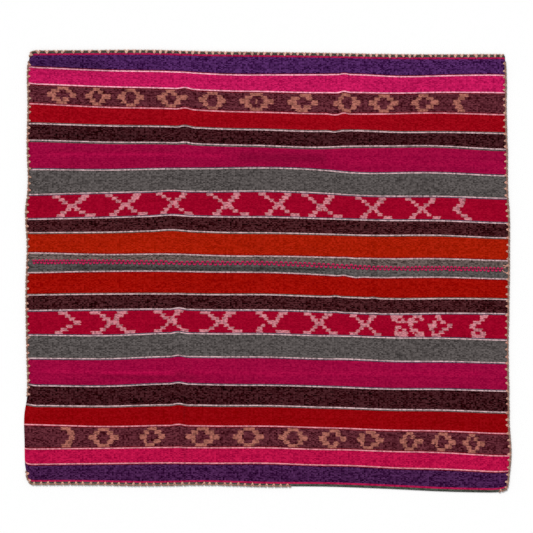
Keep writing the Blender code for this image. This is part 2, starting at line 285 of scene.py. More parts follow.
@dataclass(frozen=True)
class Pucker:
    """A place where the stripes swing sideways for a few centimetres."""

    x: float
    swing: float
    half_width: float
    from_y: float
    to_y: float

    def shift(self, x: Array, y: Array) -> Array:
        """Sideways shift: a raised cosine along the stripes, faded at both rows' ends."""
        inside = soft_step(y, self.from_y - PUCKER_FADE, self.from_y + PUCKER_FADE)
        inside = inside * (1.0 - soft_step(y, self.to_y - PUCKER_FADE, self.to_y + PUCKER_FADE))
        return self.swing * raised_cosine(x - self.x, self.half_width) * inside


PUCKERS = (
    Pucker(-205, 3.6, 24, 310, 480),
    Pucker(-221, 3.2, 25, -430, -70),
    Pucker(-240, 2.6, 55, 80, 215),
    Pucker(-612, 5.0, 34, 430, 560),
    Pucker(192, 2.4, 16, -40, 25),
    Pucker(222, -1.8, 16, -40, 25),
    Pucker(-606, 4.0, 30, -370, -250),
    Pucker(192, 2.8, 16, 380, 500),
    Pucker(170, 2.0, 18, -105, -40),
    Pucker(265, 1.6, 16, -105, -40),
    Pucker(168, -2.6, 22, 330, 440),
)


@dataclass(frozen=True)
class Relief:
    """How the cloth lies: its ripples, fine folds and cockles, flat at the rim and the join."""

    rim_flat: float = 14.0
    rim_free: float = 60.0
    join_flat: float = 9.5
    join_free: float = 22.0
    cockle: float = 0.32
    highest: float = 4.2
    rim_calm: tuple[float, float] = (4.0, 40.0)
    join_calm: tuple[float, float] = (3.0, 24.0)
    seed: int = 17

    def cockles(self, x: Array, y: Array) -> Array:
        """Low cockles: a sum of slanting sine waves, lifted so that none goes below 0.

        Args:
            x: places along the stripes.
            y: places across them.

        Returns:
            Their height.
        """
        rng = np.random.default_rng(self.seed)
        total = np.zeros_like(x)
        for length in (260.0, 190.0, 140.0, 105.0, 80.0, 62.0):
            turn, phase = rng.uniform(0.0, np.pi), rng.uniform(0.0, 2 * np.pi)
            along = x * math.cos(turn) + y * math.sin(turn)
            total = total + np.sin(2 * np.pi * along / length + phase)
        return self.cockle * np.clip(total / 3.0 + 1.0, 0.0, 2.0)

    def height(self, x: Array, y: Array, to_rim: Array, to_join: Array) -> Array:
        """Height of the cloth above lying flat: the highest ripple, with the fine relief on it.

        Args:
            x: places along the stripes.
            y: places across them.
            to_rim: distance to the nearest outer edge.
            to_join: distance to the join.

        Returns:
            The height at each place, never below 0.
        """
        ripple = np.max([fold.rise(x, y) for fold in MAIN_RIPPLES], axis=0)
        fine = sum(fold.rise(x, y) for fold in FINE_FOLDS) + self.cockles(x, y)
        free = soft_step(to_rim, self.rim_flat, self.rim_free)
        main = free * soft_step(to_join, self.join_flat, self.join_free)
        near_rim = soft_step(to_rim, *self.rim_calm) * soft_step(to_join, *self.join_calm)
        return np.minimum(main * ripple + near_rim * fine, self.highest)


# --- Stripes and figures ---

LINE_X = (-580, -400, -240, -40, 130, 210, 360, 560)


@dataclass(frozen=True)
class PaleLine:
    """A fine line between two stripes, with a darker thread along one side of it."""

    distance: float
    wander: tuple[float, ...]
    thread: Dye
    thread_side: Side
    thread_width: float = 2.2
    half_width: float = 1.45
    body: Dye = Dye.PALE


@dataclass(frozen=True)
class Chart:
    """A figure of the resist dyeing, drawn from the far side down, a mark for each dyed place."""

    rows: tuple[str, ...]
    heights: tuple[int, ...] = ()

    def level(self, depth: float) -> str:
        """The row at a depth of 0, the far side, to 1."""
        heights = np.asarray(self.heights or (1,) * len(self.rows), dtype=float)
        bounds = np.cumsum(heights) / heights.sum()
        return self.rows[min(int(np.searchsorted(bounds, depth)), len(self.rows) - 1)]

    def runs(self, depth: float) -> list[tuple[int, float, float]]:
        """Dyed runs of the row at a depth.

        Args:
            depth: share of the figure's height, from the far side.

        Returns:
            For each run its number in the chart, and its start and end as shares of the width.
        """
        row = self.level(depth)
        marks = np.array([0] + [int(mark == "#") for mark in row] + [0])
        steps = np.diff(marks)
        starts, stops = np.flatnonzero(steps > 0), np.flatnonzero(steps < 0)
        number = self.rows.index(row)
        return [
            (number * 8 + turn, start / len(row), stop / len(row))
            for turn, (start, stop) in enumerate(zip(starts, stops))
        ]


def drawn(picture: str, heights: tuple[int, ...] = ()) -> Chart:
    """Make a chart from its rows, far side first, with spaces or new lines between them."""
    return Chart(tuple(picture.split()), heights)


RING_HEIGHTS = (5, 7, 9, 7, 6)
RING = drawn("....#####.... ..###...###.. ####.....#### ..###...###.. ....#####....", RING_HEIGHTS)
RING_RIGHT = drawn(".....#####... ..####..###.. ####......### ..####.###... ....#####....", RING_HEIGHTS)
RING_LEFT = drawn("....#####.... ..###..####.. ####.....#### ..##...####.. ...#####.....", RING_HEIGHTS)
RING_OPEN = drawn("....####..... ..###.###.... ####....##### ..###..###... ...#####.....", RING_HEIGHTS)
RING_BAR = drawn("....#####.... ..###...###.. ####..#..#### ..###...###.. ....#####....", RING_HEIGHTS)
HALF_RING_LEFT = drawn("...##### ..####.. ####.... .####... ..####..", RING_HEIGHTS)
HALF_RING_RIGHT = drawn("#####.. ...#### ....### ..####. #####..", RING_HEIGHTS)
CROSS = drawn(
    """
    ####.........####...
    ...###......####....
    .....###..####......
    .......#####........
    ......###.###.......
    ....###.....###.....
    ..####.........#####
    """
)
CROSS_WIDE = drawn(
    """
    #####.......#####...
    ....###....####.....
    .....####.###.......
    .......######.......
    ......###..###......
    ....###......###....
    #####..........#####
    """
)
CROSS_BROKEN = drawn(
    """
    .####........#####..
    ...####.....####....
    .....###...###......
    .......######.......
    ....###..###........
    ..###...............
    .####.......########
    """
)
HALF_CROSS_RIGHT = drawn(
    """
    .#####.......
    .....###.....
    .......###...
    .........####
    .....####....
    ...####......
    ####.........
    """
)
HALF_CROSS_LEFT = drawn(
    """
    ...####...
    ....###...
    ..####....
    ####......
    ..###.....
    ....####..
    ......####
    """
)
BLOCKS = drawn(
    """
    #########...
    .#####.###..
    ...########.
    ............
    ...#####....
    ..###..####.
    ..##########
    ..##########
    """
)
FORK = drawn(
    """
    ...#######.
    #####..###.
    ########...
    ####.......
    .###.......
    ..######...
    ...##.#####
    ....#######
    """
)
HALF_RING_HOOKED = drawn(
    """
    ....###......
    .....###.....
    ...##..###...
    #####.....###
    .###...####..
    ..##..###....
    ..#####......
    """
)
HOOK = drawn(
    """
    ......#####
    ......###..
    ..#####....
    ####.......
    ..######...
    .###..####.
    .########..
    """
)


@dataclass(frozen=True)
class Figure:
    """A chart placed on a stripe, between two places along it, and leaning by a few millimetres."""

    chart: Chart
    start: float
    stop: float
    lean: float = 0.0


@dataclass(frozen=True)
class FigureRow:
    """The figures of one stripe, dyed into its warp before it was woven."""

    figures: tuple[Figure, ...]
    dye: Dye
    seed: int
    drawn_in: float
    level_shift: float = 1.1
    bundle_shift: float = 0.9

    def distance_in(self, depth: float, row: int, x: Array) -> Array:
        """Distance along the warp from the nearest figure's edge, above 0 inside a figure.

        Each run is the lesser of the distances from its two ends, and the row takes the
        greatest of its runs. A level's ends shift together, and each bundle's a little more.

        Args:
            depth: share of the stripe's width, from its far side.
            row: the bundle's number, for its own shifts.
            x: places along the stripe.

        Returns:
            The distance at each place, in millimetres.
        """
        best = np.full_like(x, OUTSIDE)
        bundle = np.random.default_rng((self.seed, row))
        for number, figure in enumerate(self.figures):
            width = figure.stop - figure.start
            for run, start, stop in figure.chart.runs(depth):
                level = np.random.default_rng((self.seed, number, run, 7))
                shift = level.normal(0.0, self.level_shift)
                ends = bundle.normal(0.0, self.bundle_shift, 2)
                base = figure.start + figure.lean * (depth - 0.5) + shift
                from_x = base + start * width + ends[0] + self.drawn_in
                to_x = base + stop * width + ends[1] - self.drawn_in
                best = np.maximum(best, np.minimum(x - from_x, to_x - x))
        return best


def row_of(seed: int, dye: Dye, drawn_in: float, *placed: tuple[Any, ...]) -> FigureRow:
    """Gather placed charts into a stripe's row of figures."""
    return FigureRow(tuple(Figure(*one) for one in placed), dye, seed, drawn_in)


FAR_RINGS = row_of(
    3,
    Dye.TAN_FIGURE,
    1.6,
    (RING_RIGHT, -551, -477),
    (RING_OPEN, -455, -390.5),
    (RING, -376, -307.5),
    (RING_OPEN, -276, -199),
    (RING, -173.5, -101),
    (RING_BAR, -70.5, 17),
    (RING_RIGHT, 46, 128),
    (RING, 164, 234),
    (RING, 253, 328.5),
    (RING_LEFT, 359, 428),
    (HALF_RING_LEFT, 464, 504),
)
FAR_CROSSES = row_of(
    5,
    Dye.ROSE_FIGURE,
    1.7,
    (CROSS, -540, -427.5),
    (CROSS, -406, -297.5),
    (CROSS, -278, -185.5),
    (CROSS, -150, -47, 8.5),
    (CROSS, -18.5, 78.5, 9.0),
    (CROSS, 88.5, 187, 7.0),
    (CROSS, 218.5, 313.5, 4.0),
    (CROSS, 343.5, 435.5, -2.5),
    (HALF_CROSS_LEFT, 461, 512.5),
)
NEAR_CROSSES = row_of(
    11,
    Dye.ROSE_FIGURE,
    1.5,
    (HALF_CROSS_RIGHT, -530, -464),
    (CROSS_WIDE, -442.5, -329),
    (CROSS_WIDE, -286, -196),
    (CROSS_WIDE, -169, -61.5),
    (CROSS_BROKEN, -34, 61),
    (CROSS_WIDE, 88.5, 176),
    (CROSS_WIDE, 205, 287.5),
    (BLOCKS, 308, 351),
    (FORK, 350.5, 391),
    (HALF_RING_HOOKED, 398.5, 463),
    (HOOK, 505, 552),
)
NEAR_RINGS = row_of(
    13,
    Dye.TAN_FIGURE,
    1.6,
    (HALF_RING_RIGHT, -515.5, -479.5),
    (RING, -448, -372),
    (RING_LEFT, -320, -254),
    (RING_LEFT, -204, -119),
    (RING, -86, -8.5),
    (RING, 28, 102),
    (RING_RIGHT, 128, 196),
    (RING_LEFT, 222, 292),
    (RING_OPEN, 328.5, 391),
    (RING_LEFT, 409, 470),
    (RING_OPEN, 487.5, 544.5),
)


@dataclass(frozen=True)
class Stripe:
    """A stripe of one dye, with its figures where it has them."""

    dye: Dye
    figures: Union[FigureRow, None] = None


def outer_line(distance: float) -> PaleLine:
    """The selvedge: a dull green band at the rim with a pink thread inside it."""
    still = (0.0,) * len(LINE_X)
    return PaleLine(distance, still, Dye.EDGE_PINK, Side.INNER, 4.6, 6.0, Dye.DULL_GREEN)


FAR_LINES = (
    PaleLine(22, (1.5, -2.5, 0.5, -3.5, -0.5, 1, 3.5, 2), Dye.DARK_RED, Side.OUTER, 1.6),
    PaleLine(79, (-5, -3.5, 2, -2, 0.5, 2, 5.5, 2), Dye.DULL_GREEN, Side.INNER, 2.0),
    PaleLine(116, (-8.5, -4.5, 1.5, 0, 1.5, 3, 5, 1.5), Dye.SLATE, Side.OUTER),
    PaleLine(179, (-9.5, -4.5, 0.5, 2.5, 3, 2, 3, 1), Dye.SLATE, Side.INNER),
    PaleLine(236, (-4, -5.5, -0.5, 2.5, 3, 0, 4, 0), Dye.SLATE, Side.OUTER),
    PaleLine(301, (4.5, -0.5, 0, -5.5, -5, 1.5, 7, 1.5), Dye.GREY, Side.INNER, 3.4),
    PaleLine(340, (6.5, 1, 0.5, -5.5, -4.5, 1, 1, 1.5), Dye.GREY, Side.OUTER),
    PaleLine(386, (10, 1.5, 0, -7.5, -6.5, -3, 3, 2.5), Dye.DARK_RED, Side.OUTER, body=Dye.FADED_PINK),
    PaleLine(438, (8, 1, -1, -7.5, -5.5, -1, 2, 5.5), Dye.DARK_RED, Side.INNER, 2.6, body=Dye.PALE_PINK),
    PaleLine(480, (7, -1, -2, -9, -3, 1.5, 0.5, 7), Dye.DARK_RED, Side.OUTER, body=Dye.PALE_PINK),
)
NEAR_LINES = (
    PaleLine(22, (3.5, 0, -2, -0.5, 0, 1, -1.5, -0.5), Dye.DARK_RED, Side.OUTER, 1.8),
    PaleLine(77, (4.5, 2, 0, 0.5, 0, -1.5, -2, -4.5), Dye.DULL_GREEN, Side.INNER, 2.0),
    PaleLine(114, (6, 3.5, 0.5, 1.5, 0, -0.5, -2.5, -5.5), Dye.SLATE, Side.OUTER),
    PaleLine(176, (6, 7, -0.5, 0, -1, -3.5, -3.5, -1.5), Dye.SLATE, Side.INNER),
    PaleLine(234, (5.5, 6.5, -1, -1, -2, -4.5, -3.5, -3), Dye.SLATE, Side.OUTER),
    PaleLine(304, (4, 5.5, -2.5, 0, -2, -3, -3.5, -2), Dye.SLATE, Side.INNER),
    PaleLine(354, (3.5, 5, -0.5, 0.5, -1, -2.5, -2.5, 0.5), Dye.GREY, Side.OUTER, 2.6),
    PaleLine(406, (-0.5, 4, -0.5, 0, -1.5, -3, -2.5, 2), Dye.DARK_RED, Side.OUTER, body=Dye.FADED_PINK),
    PaleLine(461, (5.5, 3.5, -0.5, -1, -2, -4.5, -4, 3), Dye.DARK_RED, Side.INNER, body=Dye.FADED_PINK),
    PaleLine(500, (4.5, 2.5, -1, -1.5, -2, -4.5, -2, 3.5), Dye.DARK_RED, Side.OUTER, body=Dye.FADED_PINK),
)


def stripes_with(crosses: FigureRow, rings: FigureRow, *dyes: Dye) -> tuple[Stripe, ...]:
    """A panel's stripes from the join outwards, with the figures of its two figured ones.

    Args:
        crosses: the figures of the inner figured stripe.
        rings: those of the outer one.
        dyes: the dyes of the join's grey and of the orange, red, pink and purple stripes.

    Returns:
        The stripes in order.
    """
    grey, orange, red, pink, purple = dyes
    return (
        Stripe(grey),
        Stripe(orange),
        Stripe(Dye.DARK_BROWN),
        Stripe(Dye.CRIMSON, crosses),
        Stripe(Dye.GREY),
        Stripe(Dye.MAGENTA),
        Stripe(Dye.DEEP_BROWN),
        Stripe(red),
        Stripe(Dye.MAUVE_BROWN, rings),
        Stripe(pink),
        Stripe(purple),
    )


@dataclass(frozen=True)
class WarpRow:
    """A row of yarns between two bounds, with its dye, its stripe and its place in it."""

    dye: Dye
    stripe: Stripe
    depth: float = 0.0


@dataclass(frozen=True)
class Bound:
    """A row's edge: a share of the way between two lines, each moved in by its own width."""

    line: int
    inner: float
    outer: float
    share: float


# --- Meshes ---


@dataclass
class Shell:
    """A closed surface in the making, with what its materials read at each face corner."""

    points: Array
    faces: list[Array]
    uv: Array
    dye: Array
    figure: Union[Array, None] = None
    figure_dye: Union[Array, None] = None

    def turned(self) -> "Shell":
        """The same shell of four-cornered faces, each wound the other way."""
        for name, width in (("uv", 2), ("dye", 4), ("figure", 1), ("figure_dye", 4)):
            values = getattr(self, name).reshape(-1, 4, width)[:, ::-1]
            setattr(self, name, values.reshape(-1, width))
        self.faces = [faces[:, ::-1] for faces in self.faces]
        return self

    @staticmethod
    def joined(parts: Sequence["Shell"]) -> "Shell":
        """Put plain shells together into one.

        Args:
            parts: shells without figures.

        Returns:
            One shell, whose faces count on through the parts' points.
        """
        starts = np.cumsum([0] + [len(part.points) for part in parts[:-1]])
        faces = [face + start for part, start in zip(parts, starts) for face in part.faces]
        return Shell(
            np.concatenate([part.points for part in parts]),
            faces,
            np.concatenate([part.uv for part in parts]),
            np.concatenate([part.dye for part in parts]),
        )

    def build(self, name: str, material: bpy.types.Material) -> bpy.types.Object:
        """Make the mesh object, in metres, at the origin.

        Args:
            name: the piece's name.
            material: its finish.

        Returns:
            The object, in the scene.
        """
        corners = np.concatenate([face.ravel() for face in self.faces])
        sizes = np.concatenate([np.full(len(face), face.shape[1]) for face in self.faces])
        mesh = bpy.data.meshes.new(name)
        mesh.vertices.add(len(self.points))
        mesh.vertices.foreach_set("co", in_model(self.points).ravel())
        mesh.loops.add(len(corners))
        mesh.loops.foreach_set("vertex_index", corners.astype(np.int32))
        mesh.polygons.add(len(sizes))
        mesh.polygons.foreach_set("loop_start", (np.cumsum(sizes) - sizes).astype(np.int32))
        mesh.update(calc_edges=True)
        mesh.polygons.foreach_set("use_smooth", np.ones(len(sizes), dtype=bool))
        mesh.uv_layers.new(name="weave").data.foreach_set("uv", self.uv.ravel())
        self._keep(mesh, "dye", "FLOAT_COLOR", "color", self.dye)
        if self.figure is not None:
            self._keep(mesh, "figure", "FLOAT", "value", self.figure)
            self._keep(mesh, "figure_dye", "FLOAT_COLOR", "color", self.figure_dye)
        mesh.materials.append(material)
        return in_scene(name, mesh)

    @staticmethod
    def _keep(mesh: bpy.types.Mesh, name: str, kind: str, field_name: str, values: Array) -> None:
        """Store one value a face corner under a name."""
        store = mesh.attributes.new(name, kind, "CORNER")
        store.data.foreach_set(field_name, np.asarray(values, dtype=np.float32).ravel())


def tube(path: Array, width: Array, height: Array, dyes: Array, sides: int = 8) -> Shell:
    """A yarn: an ellipse carried along a path, with its ends closed.

    At each point the ellipse stands across the path: one axis is level, at right angles
    to the path, and the other is at right angles to both.

    Args:
        path: points along the middle, one a row.
        width: half the yarn's width at each point.
        height: half its height at each point.
        dyes: its linear colour at each point.
        sides: how many faces go round.

    Returns:
        The closed shell. Its UV is the length along in metres and the share of the way round.
    """
    count = len(path)
    ahead = np.gradient(path, axis=0)
    ahead /= np.linalg.norm(ahead, axis=1, keepdims=True)
    level = np.cross(ahead, np.array([0.0, 0.0, 1.0]))
    level /= np.linalg.norm(level, axis=1, keepdims=True)
    upright = np.cross(level, ahead)
    angle = np.linspace(0.0, 2 * np.pi, sides, endpoint=False)
    ring = (
        path[:, None, :]
        + width[:, None, None] * np.cos(angle)[None, :, None] * level[:, None, :]
        + height[:, None, None] * np.sin(angle)[None, :, None] * upright[:, None, :]
    )
    turn = np.arange(sides)
    step = np.arange(count - 1)[:, None] * sides
    following = (turn + 1) % sides
    quads = np.stack([step + turn, step + following, step + following + sides, step + turn + sides], -1)
    quads = quads[..., ::-1].reshape(-1, 4)
    run = np.concatenate([[0.0], np.cumsum(np.linalg.norm(np.diff(path, axis=0), axis=1))]) * MM
    along = np.stack([run[:-1], run[:-1], run[1:], run[1:]], -1)[:, None, :]
    round_it = np.stack([turn, turn + 1, turn + 1, turn], -1)[None] / sides
    uv = np.stack(np.broadcast_arrays(along, round_it), -1)[:, :, ::-1, :].reshape(-1, 2)
    owner = quads.reshape(-1) // sides
    caps = [turn[None, :].copy(), ((count - 1) * sides + turn[::-1])[None, :]]
    cap_uv = np.concatenate([np.full((sides, 2), (run[0], 0.0)), np.full((sides, 2), (run[-1], 0.0))])
    cap_dye = np.concatenate([np.repeat(dyes[:1], sides, 0), np.repeat(dyes[-1:], sides, 0)])
    return Shell(
        ring.reshape(-1, 3),
        [quads] + caps,
        np.concatenate([uv, cap_uv]),
        np.concatenate([dyes[owner], cap_dye]),
    )


# --- Shader nodes ---

Operand = Union["Signal", float]


@dataclass(frozen=True)
class Signal:
    """A value on its way through a material, which adds and multiplies like a number."""

    net: "Net"
    socket: bpy.types.NodeSocket

    def __add__(self, other: Operand) -> "Signal":
        """Sum."""
        return self.net.maths("ADD", self, other)

    def __sub__(self, other: Operand) -> "Signal":
        """Difference."""
        return self.net.maths("SUBTRACT", self, other)

    def __mul__(self, other: Operand) -> "Signal":
        """Product."""
        return self.net.maths("MULTIPLY", self, other)

    def __truediv__(self, other: Operand) -> "Signal":
        """Quotient."""
        return self.net.maths("DIVIDE", self, other)

    __radd__ = __add__
    __rmul__ = __mul__

    def __rsub__(self, other: float) -> "Signal":
        """A number less this value."""
        return self.net.maths("SUBTRACT", other, self)

    def floor(self) -> "Signal":
        """The whole number below."""
        return self.net.maths("FLOOR", self)

    def wave(self) -> "Signal":
        """Sine of the value, in turns."""
        return self.net.maths("SINE", self * (2 * math.pi))

    def size(self) -> "Signal":
        """The value without its sign."""
        return self.net.maths("ABSOLUTE", self)

    def clip(self, low: float, high: float) -> "Signal":
        """The value kept between two limits."""
        return self.net.maths("MINIMUM", self.net.maths("MAXIMUM", self, low), high)

    def rise(self, start: float, full: float) -> "Signal":
        """A soft step from 0 at the start to 1 at full."""
        node = self.net.node(
            "ShaderNodeMapRange",
            {"interpolation_type": "SMOOTHSTEP"},
            {"Value": self, "From Min": start, "From Max": full},
        )
        return Signal(self.net, node.outputs["Result"])


class Net:
    """The nodes of one material."""

    def __init__(self, name: str) -> None:
        """Start an empty material of this name."""
        self.material = bpy.data.materials.new(name)
        self.material.use_nodes = True
        self.tree = self.material.node_tree
        self.tree.nodes.clear()

    def node(self, kind: str, settings: dict[str, Any], sockets: dict[Any, Any]) -> bpy.types.Node:
        """Add a node.

        Args:
            kind: the node's type.
            settings: its own properties, which are set first.
            sockets: a value or a link for each input, by name or number.

        Returns:
            The node.
        """
        made = self.tree.nodes.new(kind)
        for key, value in settings.items():
            setattr(made, key, value)
        for key, value in sockets.items():
            if isinstance(value, Signal):
                self.tree.links.new(value.socket, made.inputs[key])
            else:
                made.inputs[key].default_value = value
        return made

    def maths(self, operation: str, *values: Operand) -> Signal:
        """One step of arithmetic on values."""
        made = self.node("ShaderNodeMath", {"operation": operation}, dict(enumerate(values)))
        return Signal(self, made.outputs[0])

    def stored(self, name: str, output: str = "Fac") -> Signal:
        """A value that the mesh holds under a name."""
        made = self.node("ShaderNodeAttribute", {"attribute_name": name}, {})
        return Signal(self, made.outputs[output])

    def weave_place(self) -> tuple[Signal, ...]:
        """The piece's own UV place: along and across."""
        place = self.node("ShaderNodeUVMap", {"uv_map": "weave"}, {})
        return self.parts(Signal(self, place.outputs[0]))[:2]

    def parts(self, vector: Signal) -> tuple[Signal, ...]:
        """The three values of a vector or a colour."""
        made = self.node("ShaderNodeSeparateXYZ", {}, {0: vector})
        return tuple(Signal(self, output) for output in made.outputs)

    def vector(self, x: Operand, y: Operand, z: Operand = 0.0) -> Signal:
        """Three values as one vector."""
        made = self.node("ShaderNodeCombineXYZ", {}, {0: x, 1: y, 2: z})
        return Signal(self, made.outputs[0])

    def object_place(self) -> Signal:
        """The place in the piece's own coordinates, in metres."""
        made = self.node("ShaderNodeTexCoord", {}, {})
        return Signal(self, made.outputs["Object"])

    def noise(self, place: Signal, scale: float, detail: float = 2.0, roughness: float = 0.5) -> Signal:
        """Soft noise about 0, mostly within a half either way.

        Args:
            place: where it is read.
            scale: how many times it changes in a unit of the place.
            detail: how many finer layers it has.
            roughness: how strong those are.

        Returns:
            The noise.
        """
        made = self.node(
            "ShaderNodeTexNoise",
            {"noise_dimensions": "3D"},
            {"Vector": place, "Scale": scale, "Detail": detail, "Roughness": roughness},
        )
        return (Signal(self, made.outputs["Fac"]) - 0.5) * 2.0

    def chance(self, first: Operand, second: Operand = 0.0) -> Signal:
        """An even chance from 0 to 1 for each pair of whole numbers."""
        made = self.node(
            "ShaderNodeTexWhiteNoise",
            {"noise_dimensions": "2D"},
            {"Vector": self.vector(first, second)},
        )
        return Signal(self, made.outputs["Value"])

    def blend(self, share: Operand, first: Any, second: Any) -> Signal:
        """Mix two colours by a share."""
        made = self.node("ShaderNodeMix", {"data_type": "RGBA"}, {0: share, 6: first, 7: second})
        return Signal(self, made.outputs[2])

    def dimmed(self, colour: Signal, factor: Signal) -> Signal:
        """A colour made brighter or darker by a factor."""
        made = self.node("ShaderNodeVectorMath", {"operation": "SCALE"}, {0: colour, "Scale": factor})
        return Signal(self, made.outputs[0])

    def lifted(self, colour: Signal, amount: Signal) -> Signal:
        """A colour with the same amount added to its three values, never below 0."""
        summed = self.node("ShaderNodeVectorMath", {"operation": "ADD"}, {0: colour, 1: amount})
        sockets = {0: Signal(self, summed.outputs[0]), 1: (0.0, 0.0, 0.0)}
        made = self.node("ShaderNodeVectorMath", {"operation": "MAXIMUM"}, sockets)
        return Signal(self, made.outputs[0])

    def bump(self, height: Signal, strength: float, distance: float) -> Signal:
        """Normals of a fine relief."""
        made = self.node(
            "ShaderNodeBump", {}, {"Strength": strength, "Distance": distance, "Height": height}
        )
        return Signal(self, made.outputs[0])

    def finish(self, sockets: dict[Any, Any]) -> bpy.types.Material:
        """Add the surface shader and the output.

        Args:
            sockets: what the surface shader's inputs hold.

        Returns:
            The material.
        """
        surface = self.node("ShaderNodeBsdfPrincipled", {}, sockets)
        self.node("ShaderNodeOutputMaterial", {}, {0: Signal(self, surface.outputs[0])})
        return self.material


# --- Finishes ---


@dataclass(frozen=True)
class StripedWool:
    """Warp-faced wool cloth: yarns side by side over hidden picks, dyed by the stored colours, which also
    carry painted light and shade, with painted shade between the weft ribs.
    """

    name: str = "striped_wool"
    end_pitch: float = END_PITCH * MM
    pick_pitch: float = PICK_PITCH * MM
    roughness: float = 0.93
    specular: float = 0.02
    figure_feather: float = 0.9
    fibre_grey: float = 0.011
    crossing_share: float = 1.3
    yarn_share: float = 0.35
    streak_share: float = 0.3
    painted_rib_shade: float = 0.1
    fleck_share: float = 0.45
    band_share: float = 0.1
    patch_share: float = 0.1
    ragged_share: float = 0.08
    darkest: float = 0.25
    lightest: float = 2.2

    def material(self) -> bpy.types.Material:
        """Make the cloth's material."""
        net = Net(self.name)
        along, across = net.weave_place()
        yarn = (across / self.end_pitch).floor()
        own = net.chance(yarn, 3.0)
        waver = net.noise(net.vector(along * 30.0, across * 12.0), 1.0, 2.0)
        picks = along / self.pick_pitch + waver * 0.45
        pick = (picks + 0.5).floor()
        crossing = net.chance(pick, (across / (2.0 * self.end_pitch)).floor())
        ragged = net.chance(pick, (across / 0.011 + waver * 2.0).floor())
        streak = net.noise(net.vector(along * 9.0, yarn * 0.61), 1.0, 3.0, 0.6)
        band = net.noise(net.vector(along * 5.0, across * 60.0), 1.0, 3.0, 0.6)
        fleck = net.noise(net.vector(along * 520.0, across * 620.0), 1.0, 2.0, 0.6)
        patch = net.noise(net.object_place(), 7.0, 3.0, 0.55)
        edge = net.stored("figure") + (own - 0.5) * 1.5 + fleck * 1.1 + (ragged - 0.5) * 1.2
        mask = edge.rise(-self.figure_feather, self.figure_feather)
        wool = net.blend(mask, net.stored("dye", "Color"), net.stored("figure_dye", "Color"))
        plain, figured = net.stored("dye", "Alpha"), net.stored("figure_dye", "Alpha")
        grain = (crossing - 0.5) * self.crossing_share + (own - 0.5) * self.yarn_share
        grain = grain + streak * self.streak_share
        # picks.wave() paints shade into the grooves between the weft ribs and light onto their crowns.
        grain = grain + picks.wave() * self.painted_rib_shade + fleck * self.fleck_share
        uneven = (plain + mask * (figured - plain)) * grain
        light = 1.0 + uneven + band * self.band_share + patch * self.patch_share
        light = (light + (ragged - 0.5) * self.ragged_share).clip(self.darkest, self.lightest)
        crown = ((across / self.end_pitch) * 0.5).wave().size()
        bead = (along / self.pick_pitch + yarn * 0.5).wave() * 0.35 + crown
        return net.finish(
            {
                "Base Color": net.lifted(net.dimmed(wool, light), uneven * self.fibre_grey),
                "Roughness": self.roughness,
                "Specular IOR Level": self.specular,
                "Normal": net.bump(bead + fleck * 0.5, 0.45, 0.0005),
            }
        )


@dataclass(frozen=True)
class PliedYarn:
    """Thick plied yarn: slanting plies with painted shade in the grooves between them, flecks of light fibre
    and the stored colour.
    """

    name: str
    ply_length: float
    fleck: float = 0.3
    roughness: float = 0.9

    def material(self) -> bpy.types.Material:
        """Make the yarn's material."""
        net = Net(self.name)
        along, around = net.weave_place()
        ply = (along / self.ply_length + around * 2.0).wave()
        fleck = net.noise(net.object_place(), 900.0, 2.0, 0.6)
        patch = net.noise(net.object_place(), 60.0, 2.0, 0.5)
        # The ply wave paints shade into the grooves between the plies and light onto their crowns.
        light = 1.0 + ply * 0.22 + fleck * self.fleck + patch * 0.25
        return net.finish(
            {
                "Base Color": net.dimmed(net.stored("dye", "Color"), light.clip(0.3, 1.8)),
                "Roughness": self.roughness,
                "Specular IOR Level": 0.15,
                "Sheen Weight": 0.1,
                "Normal": net.bump(ply + fleck * 0.6, 0.5, 0.0006),
            }
        )


@dataclass(frozen=True)
class StudioFloor:
    """Matt white board."""

    name: str = "studio_floor"
    shade: float = 0.93
    light: float = 0.94

    def material(self) -> bpy.types.Material:
        """Make the board's material."""
        net = Net(self.name)
        grain = net.noise(net.object_place(), 40.0, 2.0)
        share = (grain * 0.5 + 0.5).clip(0.0, 1.0)
        colour = net.blend(share, (self.shade,) * 3 + (1.0,), (self.light,) * 3 + (1.0,))
        return net.finish({"Base Color": colour, "Roughness": 0.9, "Specular IOR Level": 0.1})


# --- The woven panels ---


